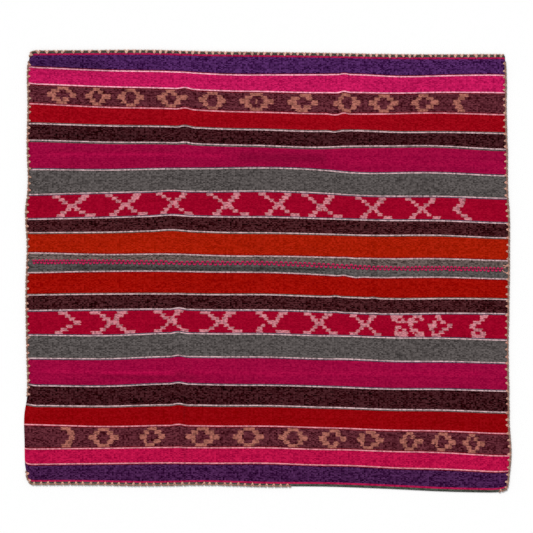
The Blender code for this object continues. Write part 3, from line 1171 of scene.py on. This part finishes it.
@dataclass
class WovenPanel:
    """One loom width of striped cloth: a closed sheet whose rows follow its yarns."""

    name: str
    node: str
    side: float
    edge: tuple[float, ...]
    width: float
    lines: tuple[PaleLine, ...]
    stripes: tuple[Stripe, ...]
    corner_left: tuple[float, float]
    corner_right: tuple[float, float]
    relief: Relief = field(default_factory=Relief)
    edge_width: float = 1.6
    edge_round: tuple[float, float] = (0.45, 0.35)
    seam_width: float = 5.0
    seam_dip: float = 0.5
    still_join: tuple[float, float] = (3.0, 20.0)
    still_rim: tuple[float, float] = (2.0, 50.0)
    rows: list[WarpRow] = field(default_factory=list)
    bounds: list[Bound] = field(default_factory=list)
    plan: Array = field(init=False)
    flat_distances: Array = field(init=False)
    to_join: Array = field(init=False)
    to_rim: Array = field(init=False)

    def lay_warp(self) -> None:
        """List the rows of yarns from the join outwards, with their bounds."""
        lines = (PaleLine(0.0, (0.0,) * 8, Dye.GREY, Side.INNER, 0.0, 0.0),)
        lines = lines + self.lines + (outer_line(self.width),)
        self.bounds = [Bound(0, 0.0, 0.0, 0.0)]
        for number, stripe in enumerate(self.stripes):
            inner, outer = lines[number], lines[number + 1]
            start, stop = inner.half_width, outer.half_width
            if number:
                self._row(inner.body, stripe, Bound(number, start, 0.0, 0.0))
            if number and inner.thread_side is Side.OUTER:
                start += inner.thread_width
                self._row(inner.thread, stripe, Bound(number, start, 0.0, 0.0))
            if outer.thread_side is Side.INNER:
                stop += outer.thread_width
            clear = outer.distance - inner.distance - start - stop
            count = round(clear / (FIGURE_ROW if stripe.figures else STRIPE_ROW))
            for row in range(count):
                share = (row + 1) / count
                self._row(stripe.dye, stripe, Bound(number, start, stop, share), (row + 0.5) / count)
            if outer.thread_side is Side.INNER:
                self._row(outer.thread, stripe, Bound(number, 0.0, outer.half_width, 1.0))
            if number == len(self.stripes) - 1:
                self._row(outer.body, stripe, Bound(number, 0.0, 0.5 * outer.half_width, 1.0))
            self._row(outer.body, stripe, Bound(number, 0.0, 0.0, 1.0))

    def _row(self, dye: Dye, stripe: Stripe, bound: Bound, depth: float = 0.0) -> None:
        """Add a row of yarns up to a bound."""
        self.rows.append(WarpRow(dye, stripe, depth))
        self.bounds.append(bound)

    def bound_distances(self, lines: Array) -> Array:
        """Distance of each bound from the join, from the lines' distances.

        Args:
            lines: the lines' distances, the lines' axis first and the bounds' second.

        Returns:
            (1 - share) times the inner line moved out, plus share times the outer moved in.
        """
        shape = (len(self.bounds),) + (1,) * (lines.ndim - 2)
        number = np.array([bound.line for bound in self.bounds])
        inner, outer, share = (
            np.array([getattr(bound, name) for bound in self.bounds]).reshape(shape)
            for name in ("inner", "outer", "share")
        )
        own = np.arange(len(self.bounds))
        return (1.0 - share) * (lines[number, own] + inner) + share * (lines[number + 1, own] - outer)

    def columns(self) -> Array:
        """Places of the columns as shares of the length, closer together at the two ends."""
        length = CLOTH_LENGTH
        close = np.array([0.0, 1.5, 3.5, 6.5, 10.0])
        middle = np.linspace(14.0, length - 14.0, round((length - 28.0) / COLUMN_WIDTH) + 1)
        return np.concatenate([close, middle, length - close[::-1]]) / length

    def lay_out(self) -> None:
        """Work out where each bound meets each column, seen from above.

        X runs evenly between the two ends at the bound's own height. Y is the join plus
        the bound's distance, drawn in by a quarter of an ellipse at the corners and
        swung sideways by the puckers.
        """
        nominal = np.array([0.0] + [line.distance for line in self.lines] + [self.width])
        count = len(self.bounds)
        flat = self.bound_distances(np.repeat(nominal[:, None], count, 1))
        straight = NOMINAL_JOIN_Y + self.side * flat
        left = smooth_table(END_Y, np.array(LEFT_END), straight)[:, None]
        right = smooth_table(END_Y, np.array(RIGHT_END, dtype=float), straight)[:, None]
        x = left + self.columns()[None, :] * (right - left)
        join = smooth_table(STATION_X, np.array(JOIN), x)
        edge = np.abs(smooth_table(STATION_X, np.array(self.edge), x) - join)
        wander = np.array([line.wander for line in self.lines]).T
        inner = smooth_table(LINE_X, wander, x) + nominal[1:-1, None, None]
        lines = np.concatenate([np.zeros((1,) + x.shape), inner, edge[None]])
        distance = self.bound_distances(lines)
        drop = self._corner(self.corner_left, x - left) + self._corner(self.corner_right, right - x)
        distance = distance - drop * (distance / edge) ** CORNER_POWER
        gap = 0.5 * PIECE_GAP * (1.0 - distance / edge)
        y = join + self.side * (distance + gap)
        swing = sum(pucker.shift(x, y) for pucker in PUCKERS)
        calm = soft_step(distance, *self.still_join) * soft_step(edge - distance, *self.still_rim)
        self.flat_distances = flat
        self.to_join = distance
        self.to_rim = np.minimum(np.minimum(x - left, right - x), edge - distance)
        self.plan = np.stack([x, y + swing * calm], -1)

    @staticmethod
    def _corner(reach: tuple[float, float], distance: Array) -> Array:
        """How far a long edge is drawn in at a distance from an end: a quarter of an ellipse."""
        along, across = reach
        share = np.clip((along - distance) / along, 0.0, 1.0)
        return across * (1.0 - np.sqrt(1.0 - share**2))

    def surface(self) -> Array:
        """Points of the closed sheet: the top from join to rim, then the underside back.

        The top is the thickness and the relief. The underside lies that thickness below,
        and both are rounded where they meet at the rim.

        Returns:
            Points by row and column.
        """
        x, y = self.plan[..., 0], self.plan[..., 1]
        lift = self.relief.height(x, y, self.to_rim, self.to_join)
        weighting = 1.0 - soft_step(self.to_rim, 0.0, self.edge_width)
        seam = 1.0 - soft_step(self.to_join, 0.0, self.seam_width)
        top = SHEET_THICKNESS + lift - self.edge_round[0] * weighting - self.seam_dip * seam
        under = lift + self.edge_round[1] * weighting
        upper = np.stack([x, y, top], -1)
        lower = np.stack([x, y, under], -1)[::-1]
        return np.concatenate([upper, lower])

    def figure_distances(self) -> tuple[Array, Array]:
        """Figures' distances by row and column, and each row's figure dye."""
        mid_x = 0.5 * (self.plan[:-1, :, 0] + self.plan[1:, :, 0])
        distances = np.full(mid_x.shape, OUTSIDE)
        dyes = np.tile(Dye.PALE.light(), (len(self.rows), 1))
        for number, row in enumerate(self.rows):
            figures = row.stripe.figures
            if figures is None or row.dye is not row.stripe.dye:
                continue
            depth = 1.0 - row.depth if self.side > 0 else row.depth
            distances[number] = figures.distance_in(depth, number, mid_x[number])
            dyes[number] = figures.dye.light()
        return distances, dyes

    @staticmethod
    def painted_shading(x: Array, y: Array) -> Array:
        """Share of each dye's light: 1 and the sum of the painted highlights, painted shade and darker and
        lighter patches.
        """
        return 1.0 + sum(place.rise(x, y) for place in PAINTED_LIGHT_AND_PATCHES)

    def shell(self) -> Shell:
        """Turn the rows and columns into a closed shell with its corner values.

        Each strip of faces runs between two neighbouring rows of points, all the way
        round the sheet, and the two ends are closed by faces from top to underside.

        Returns:
            The sheet's shell.
        """
        grid = self.surface()
        rings, columns = grid.shape[:2]
        count = len(self.rows)
        index = np.arange(rings * columns).reshape(rings, columns)
        following = np.roll(index, -1, axis=0)
        quads = around(index, following)
        owner = np.concatenate([np.arange(count), [count - 1], np.arange(count)[::-1], [0]])
        heights = np.concatenate([self.flat_distances, self.flat_distances[::-1]]) * MM
        next_heights = np.roll(heights, -1)
        u = grid[..., 0] * MM + UV_START
        next_u = np.roll(u, -1, axis=0)
        across = np.stack([heights, heights, next_heights, next_heights], -1)[:, None, :]
        uv = np.stack(
            [
                around(u, next_u),
                np.broadcast_to(across, (rings, columns - 1, 4)),
            ],
            -1,
        )
        distances, figure_dyes = self.figure_distances()
        figure = around(distances[owner], distances[owner])
        dyes = np.array([row.dye.light() for row in self.rows])
        # Each corner's dye and figure dye are scaled by the painted highlights, painted shade and patches at
        # its point.
        painted_gain = self.painted_shading(grid[..., 0], grid[..., 1])
        after = np.roll(painted_gain, -1, axis=0)
        weighting = around(painted_gain, after)[..., None]
        weighting = np.concatenate([weighting, weighting, weighting, np.ones_like(weighting)], -1)
        dye = dyes[owner][:, None, None, :] * weighting
        figure_dye = figure_dyes[owner][:, None, None, :] * weighting

        step = np.arange(count)
        back = rings - 1 - step
        left = np.stack([step, step + 1, back - 1, back], -1)
        ends = np.concatenate([index[left, 0], index[left[:, ::-1], columns - 1]])
        faces = np.concatenate([quads.reshape(-1, 4), ends])
        end_u = np.repeat(END_UV, 4 * count)
        end_v = np.concatenate([heights[left].ravel(), heights[left[:, ::-1]].ravel()])
        end_dye = np.tile(np.repeat(dyes, 4, axis=0), (2, 1))
        values = Shell(
            grid.reshape(-1, 3),
            [faces],
            np.concatenate([uv.reshape(-1, 2), np.stack([end_u, end_v], -1)]),
            np.concatenate([dye.reshape(-1, 4), end_dye]),
            np.concatenate([figure.reshape(-1), np.full(8 * count, OUTSIDE)]),
            np.concatenate([figure_dye.reshape(-1, 4), end_dye]),
        )
        return values if self.side > 0 else values.turned()

    def weave(self, finish: bpy.types.Material) -> bpy.types.Object:
        """Make the panel's piece.

        Args:
            finish: the cloth's material.

        Returns:
            The piece, standing for the panel's solid.
        """
        piece = self.shell().build(self.name, finish)
        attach(piece, "root")
        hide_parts(self.node)
        LOG.info("%s: %d rows, %d faces", self.name, len(self.rows), len(piece.data.polygons))
        return piece


# --- The join's zigzag ---


@dataclass
class JoinZigzag:
    """Thick yarn that crosses from selvedge to selvedge and draws them together."""

    left: float = -587.0
    right: float = 590.0
    reach: float = 3.8
    towards_far: float = 1.5
    seat: float = 1.75
    samples: int = 16
    step: float = 0.25
    half_width: tuple[float, float, float] = (1.05, 1.2, 0.95)
    half_height: tuple[float, float] = (0.75, 0.45)
    seed: int = 23
    spacing_x: tuple[float, ...] = (-600, -400, -330, 0, 250, 430, 600)
    spacing: tuple[float, ...] = (8.8, 9.6, 11.6, 12.0, 11.1, 9.8, 9.6)
    near_turn: Colour = (200, 22, 86)
    far_turn: Colour = (198, 20, 84)
    # Darker where the yarn sinks across the join: painted shadow in the dip between its raised turns.
    crossing: Colour = (132, 14, 62)

    def path(self) -> tuple[Array, Array]:
        """The yarn's middle: a wave across the join whose phase grows by the stitch spacing.

        Across the join it follows the cosine of the phase. Along it, the yarn leans, so
        that each stitch slants. It rises at the turns and sinks where it crosses the join.

        Returns:
            The points, and the cosine at each: 1 at a far turn and -1 at a near one.
        """
        rough = np.arange(self.left, self.right, self.step)
        pitch = smooth_table(self.spacing_x, np.array(self.spacing), rough)
        phase = np.concatenate([[0.0], np.cumsum(self.step / pitch)[:-1]])
        turns = np.arange(0.0, phase[-1], 1.0 / self.samples)
        rng = np.random.default_rng(self.seed)
        knots = np.arange(0.0, phase[-1] + 2.0, 0.5)
        uneven = np.interp(turns, knots, rng.normal(0.0, 1.0, len(knots)))
        drift = np.interp(turns, knots, rng.normal(0.0, 1.0, len(knots)))
        x = np.interp(turns, phase, rough)
        swing = np.cos(2 * np.pi * turns)
        lean = 1.1 * np.sin(4 * np.pi * turns) + 0.45 * drift
        middle = smooth_table(STATION_X, np.array(JOIN), x) + self.towards_far
        y = middle + swing * self.reach * (1.0 + 0.15 * uneven)
        z = self.seat + 0.5 + 0.75 * np.abs(swing) + 0.1 * drift
        return np.stack([x + lean, y, z], -1), swing

    def stitch(self, finish: bpy.types.Material) -> bpy.types.Object:
        """Make the zigzag's piece: thick at its turns, thickest on the near side.

        Args:
            finish: the yarn's material.

        Returns:
            The piece.
        """
        path, swing = self.path()
        full = np.abs(swing) ** 2
        near = np.clip(-swing, 0.0, 1.0) ** 1.5
        far = np.clip(swing, 0.0, 1.0) ** 1.5
        slim, near_swell, far_swell = self.half_width
        width = slim + near_swell * near + far_swell * far
        height = self.half_height[0] + self.half_height[1] * full
        # The colour darkens towards each crossing as painted shadow.
        base = linear(self.crossing)
        dye = base + near[:, None] * (linear(self.near_turn) - base)
        dye = dye + far[:, None] * (linear(self.far_turn) - base)
        dyes = np.concatenate([dye, np.ones((len(dye), 1))], axis=1)
        piece = tube(path, width, height, dyes).build("join_zigzag", finish)
        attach(piece, "root")
        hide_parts("join_stitching")
        LOG.info("join_zigzag: %d faces", len(piece.data.polygons))
        return piece


# --- The blanket-stitched rim ---


class RimSide(Enum):
    """The rim's sides, in the order in which the stitches go round."""

    NEAR_LEFT = ("near_left", 0, -1.0)
    LEFT = ("left", 1, 1.0)
    FAR = ("far", 0, 1.0)
    RIGHT = ("right", 1, -1.0)
    NEAR_RIGHT = ("near_right", 0, -1.0)


class Rim:
    """The rug's outline from above, clockwise from the bare part of the near side."""

    half_chord = 5.0

    def __init__(self, far: WovenPanel, near: WovenPanel, start_share: float = 0.75) -> None:
        """Gather the outline from the two panels' plans."""
        split = int(start_share * near.plan.shape[1])
        parts = {
            RimSide.NEAR_LEFT: near.plan[-1, split::-1],
            RimSide.LEFT: np.concatenate([near.plan[::-1, 0], far.plan[:, 0]]),
            RimSide.FAR: far.plan[-1],
            RimSide.RIGHT: np.concatenate([far.plan[::-1, -1], near.plan[:, -1]]),
            RimSide.NEAR_RIGHT: near.plan[-1, : split - 1 : -1],
        }
        others = [parts[side][1:] for side in list(RimSide)[1:]]
        self.points = np.concatenate([parts[RimSide.NEAR_LEFT]] + others)
        steps = np.hypot(*np.diff(self.points, axis=0).T)
        self.lengths = np.concatenate([[0.0], np.cumsum(steps)])
        self.spans: dict[RimSide, tuple[int, int]] = {}
        start = 0
        for side in RimSide:
            count = len(parts[side]) - (1 if start else 0)
            self.spans[side] = (max(start - 1, 0), start + count)
            start += count

    def place(self, side: RimSide, at: float) -> float:
        """Length along the rim where a side has this X or Y."""
        first, last = self.spans[side]
        _, axis, way = side.value
        return float(np.interp(way * at, way * self.points[first:last, axis], self.lengths[first:last]))

    def at(self, length: Array) -> Array:
        """Points at lengths along the rim."""
        return np.stack([np.interp(length, self.lengths, self.points[:, axis]) for axis in (0, 1)], -1)

    def frame_at(self, length: Array) -> tuple[Array, Array]:
        """Points and inward directions along the rim.

        The direction is at right angles to the chord from 5 mm before a place to 5 mm
        after it, turned to the right of the way round.

        Args:
            length: lengths along the rim.

        Returns:
            The points and the unit directions.
        """
        point = self.at(length)
        chord = self.at(length + self.half_chord) - self.at(length - self.half_chord)
        inward = np.stack([chord[:, 1], -chord[:, 0]], -1)
        return point, inward / np.linalg.norm(inward, axis=1, keepdims=True)


@dataclass
class BlanketStitching:
    """A run of blanket stitches: a yarn along the rim that turns in over it at each stitch."""

    name: str
    node: str
    from_side: RimSide
    from_at: float
    to_side: RimSide
    to_at: float
    pitch: float
    seed: int
    first_pitch: float = 0.0
    first_length: float = 0.0
    reach: float = 5.6
    half_base: float = 0.3
    tails: tuple[tuple[float, float, float], ...] = ()
    # Tan and salmon are the yarn's own colours and brown is the rim yarn's, darkened as painted shade where
    # it runs over the rim; each stitch brightens to its full colour at the tip as a painted highlight.
    tan: Colour = (206, 162, 142)
    salmon: Colour = (218, 150, 134)
    brown: Colour = (128, 98, 84)
    leg_highlight: float = 0.35
    loop_bulk: float = 1.3
    tip_bulk: float = 1.1

    def centres(self, start: float, stop: float) -> tuple[Array, Array]:
        """Stitches' middles along the rim, and the pitch at each."""
        if self.first_length:
            first = np.arange(start, start + self.first_length, self.first_pitch)
            rest = np.arange(first[-1] + self.first_pitch, stop - 0.8 * self.pitch, self.pitch)
            starts = np.concatenate([first, rest])
            pitches = np.concatenate([np.full(len(first), self.first_pitch), np.full(len(rest), self.pitch)])
        else:
            starts = np.arange(start, stop - 0.8 * self.pitch, self.pitch)
            pitches = np.full(len(starts), self.pitch)
        return starts + 0.5 * pitches, pitches

    def keys(self, start: float, stop: float) -> tuple[Array, Array]:
        """The yarn's key places: seven a stitch, with their colours.

        A row holds the length along the rim, the distance in from it, the height, and
        half the yarn's width. A stitch's outer places lie along the rim or just outside it,
        and its middle one is the tip, a full reach in.

        Args:
            start: where the run begins along the rim.
            stop: where it ends.

        Returns:
            The key places and the linear colours there.
        """
        rng = np.random.default_rng(self.seed)
        middle, pitch = self.centres(start, stop)
        count = len(middle)
        middle = middle + rng.normal(0.0, 0.05, count) * pitch
        reach = self.reach * (1.0 + rng.uniform(-0.22, 0.18, count))
        lean = rng.normal(0.0, 0.09, count) * pitch
        base = self.half_base * pitch * (1.0 + rng.uniform(-0.15, 0.15, count))
        thick = 1.0 + rng.uniform(-0.12, 0.15, count)
        side = (
            (1.3, 0.0, 0.15, 2.4, 1.6 * self.loop_bulk),
            (0.95, 0.0, 0.0, 2.5, 1.75 * self.loop_bulk),
            (0.5, 0.2, -0.4, 2.7, 1.6 * self.tip_bulk),
        )
        tip = (0.0, 1.0, self.reach, 3.0, 1.6 * self.tip_bulk)
        shape = [(-share, *rest) for share, *rest in side] + [tip] + list(side[::-1])
        rows = []
        for base_share, lean_share, inward, height, half_width in shape:
            depth = reach if base_share == 0.0 else np.full(count, inward)
            along = middle + base_share * base + lean_share * lean
            rows.append(np.stack([along, depth, np.full(count, height), half_width * thick], -1))
        keys = np.stack(rows, 1).reshape(-1, 4)
        shade = rng.uniform(0.0, 1.0, count)[:, None]
        warm = linear(self.tan) + shade * (linear(self.salmon) - linear(self.tan))
        warm = warm * rng.uniform(0.78, 1.15, count)[:, None]
        dim = linear(self.brown)
        # The mix runs from brown with painted shade on the rim to a painted highlight at the tip, with the
        # legs between lit by a painted highlight of their own share.
        leg = self.leg_highlight
        mixes = (0.0, 0.2 * leg, leg, 1.0, leg, 0.2 * leg, 0.0)
        dyes = np.stack([dim + mix * (warm - dim) for mix in mixes], 1).reshape(-1, 3)
        return keys, dyes

    def yarn(self, rim: Rim) -> Shell:
        """Carry the yarn through its key places on a smooth curve.

        Args:
            rim: the rug's outline.

        Returns:
            The run's shell, with its loose tails where it has them.
        """
        start, stop = rim.place(self.from_side, self.from_at), rim.place(self.to_side, self.to_at)
        keys, dyes = self.keys(start, stop)
        number = np.arange(len(keys))
        steps = np.arange(0.0, len(keys) - 1 + 1e-9, 0.25)
        smooth = smooth_table(number, keys, steps)
        colours = np.stack([np.interp(steps, number, dyes[:, channel]) for channel in range(3)], -1)
        point, inward = rim.frame_at(smooth[0])
        path = np.concatenate([point + inward * smooth[1][:, None], smooth[2][:, None]], axis=1)
        width = np.clip(smooth[3], 0.8, 2.6)
        height = np.minimum(width * 0.7, np.maximum(smooth[2] - 0.05, 0.4))
        shells = [tube(path, width, height, np.concatenate([colours, np.ones((len(steps), 1))], 1), 7)]
        return Shell.joined(shells + [self.tail(*spec) for spec in self.tails])

    def tail(self, x: float, y: float, turn: float) -> Shell:
        """A loose end of yarn that lies over the rim: an arc that thins to its tip.

        Args:
            x: where it starts along the stripes.
            y: where it starts across them.
            turn: which way it points, in degrees from the right.

        Returns:
            Its shell.
        """
        share = np.linspace(0.0, 1.0, 14)
        heading = np.radians(turn) + 0.9 * share
        path = np.stack(
            [
                x + np.cumsum(np.cos(heading)) * 1.0,
                y + np.cumsum(np.sin(heading)) * 1.0,
                3.1 - 0.5 * share,
            ],
            -1,
        )
        width = 1.15 - 0.6 * share
        dyes = np.tile(np.append(linear(self.salmon), 1.0), (len(share), 1))
        return tube(path, width, 0.8 * width, dyes, 7)

    def stitch(self, rim: Rim, finish: bpy.types.Material) -> bpy.types.Object:
        """Make the run's piece.

        Args:
            rim: the rug's outline.
            finish: the yarn's material.

        Returns:
            The piece.
        """
        piece = self.yarn(rim).build(self.name, finish)
        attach(piece, "root")
        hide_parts(self.node)
        LOG.info("%s: %d faces", self.name, len(piece.data.polygons))
        return piece


EDGING = (
    BlanketStitching(
        "near_edging", "edging_near", RimSide.NEAR_LEFT, 60.0, RimSide.LEFT, -492.0, 17.6, 31
    ),
    BlanketStitching("left_edging", "edging_left", RimSide.LEFT, -317.0, RimSide.LEFT, 532.0, 17.6, 37),
    BlanketStitching(
        "far_edging", "edging_far", RimSide.LEFT, 532.4, RimSide.RIGHT, 526.4, 16.4, 41,
        first_pitch=22.0, first_length=250.0, tan=(218, 176, 156), salmon=(216, 160, 146),
        leg_highlight=0.7, loop_bulk=1.0, tip_bulk=1.2,
    ),
    BlanketStitching(
        "right_edging", "edging_right", RimSide.RIGHT, 526.0, RimSide.NEAR_RIGHT, 575.0, 17.4, 43,
        tails=((588.0, 14.0, -20.0), (590.0, 8.0, 10.0), (587.0, 3.0, -60.0)),
    ),
)


# --- Studio ---


@dataclass
class Studio:
    """The white floor, the soft light and the camera straight above the rug."""

    aim: tuple[float, float] = (-0.0034, 0.01345)
    frame_width: float = 1.3325
    floor_reach: float = 8.0
    floor_drop: float = 0.0004
    camera_height: float = 4.2
    sensor: float = 36.0
    ambient: float = 0.62
    key_strength: float = 2.1
    key_height: float = 42.0
    key_bearing: float = 118.0
    key_softness: float = 14.0

    def floor(self) -> bpy.types.Object:
        """Lay the floor just below the rug."""
        signs = ((-1, -1), (1, -1), (1, 1), (-1, 1))
        corners = [(x * self.floor_reach, y * self.floor_reach, -self.floor_drop) for x, y in signs]
        mesh = bpy.data.meshes.new("floor")
        mesh.from_pydata(corners, [], [(0, 1, 2, 3)])
        mesh.materials.append(StudioFloor().material())
        floor = in_scene("floor", mesh)
        return floor

    def light(self) -> None:
        """Soft white surroundings, and a broad key light that rakes over the folds."""
        world = bpy.data.worlds.new("soft_white")
        world.use_nodes = True
        background = world.node_tree.nodes["Background"]
        background.inputs["Color"].default_value = (1.0, 1.0, 1.0, 1.0)
        background.inputs["Strength"].default_value = self.ambient
        bpy.context.scene.world = world
        key = bpy.data.lights.new("key_light", "SUN")
        key.energy = self.key_strength
        key.angle = math.radians(self.key_softness)
        lamp = in_scene("key_light", key)
        tilt = math.radians(90.0 - self.key_height)
        lamp.rotation_euler = (tilt, 0.0, math.radians(self.key_bearing + 90.0))
        lamp.location = (0.0, 0.0, 3.0)

    def camera(self) -> None:
        """Hang the camera above the rug, with a long lens that just frames it."""
        lens = bpy.data.cameras.new("camera")
        lens.sensor_width = self.sensor
        lens.lens = self.sensor * self.camera_height / self.frame_width
        lens.clip_end = 50.0
        camera = in_scene("camera", lens)
        camera.location = (self.aim[0], self.aim[1], self.camera_height)
        bpy.context.scene.camera = camera

    def set_up(self) -> None:
        """Build the studio."""
        self.floor()
        self.light()
        self.camera()
        bpy.context.scene.view_settings.view_transform = "Standard"
        LOG.info("studio: set up")


def main() -> None:
    """Build the rug piece by piece."""
    logging.basicConfig(level=logging.INFO, format="%(message)s")
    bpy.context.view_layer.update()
    Studio().set_up()
    cloth = StripedWool().material()
    far = WovenPanel(
        "far_cloth", "far_panel", 1.0, FAR_EDGE, 533.0, FAR_LINES,
        stripes_with(
            FAR_CROSSES, FAR_RINGS, Dye.SEAM_GREY, Dye.ORANGE_RED, Dye.RED, Dye.PINK, Dye.PURPLE
        ),
        (14.0, 10.0), (7.0, 5.0),
    )
    near = WovenPanel(
        "near_cloth", "near_panel", -1.0, NEAR_EDGE, 554.0, NEAR_LINES,
        stripes_with(
            NEAR_CROSSES, NEAR_RINGS,
            Dye.GREY, Dye.DEEP_ORANGE, Dye.DEEP_RED, Dye.DEEP_PINK, Dye.DEEP_PURPLE,
        ),
        (17.0, 34.0), (45.0, 13.0),
    )
    for panel in (far, near):
        panel.lay_warp()
        panel.lay_out()
        panel.weave(cloth)
    zigzag = JoinZigzag().stitch(PliedYarn("joining_wool", 0.004).material())
    tan_yarn = PliedYarn("edging_wool", 0.005).material()
    rim = Rim(far, near)
    runs = {run.node: run.stitch(rim, tan_yarn) for run in EDGING}
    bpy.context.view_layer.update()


if __name__ == "__main__":
    main()
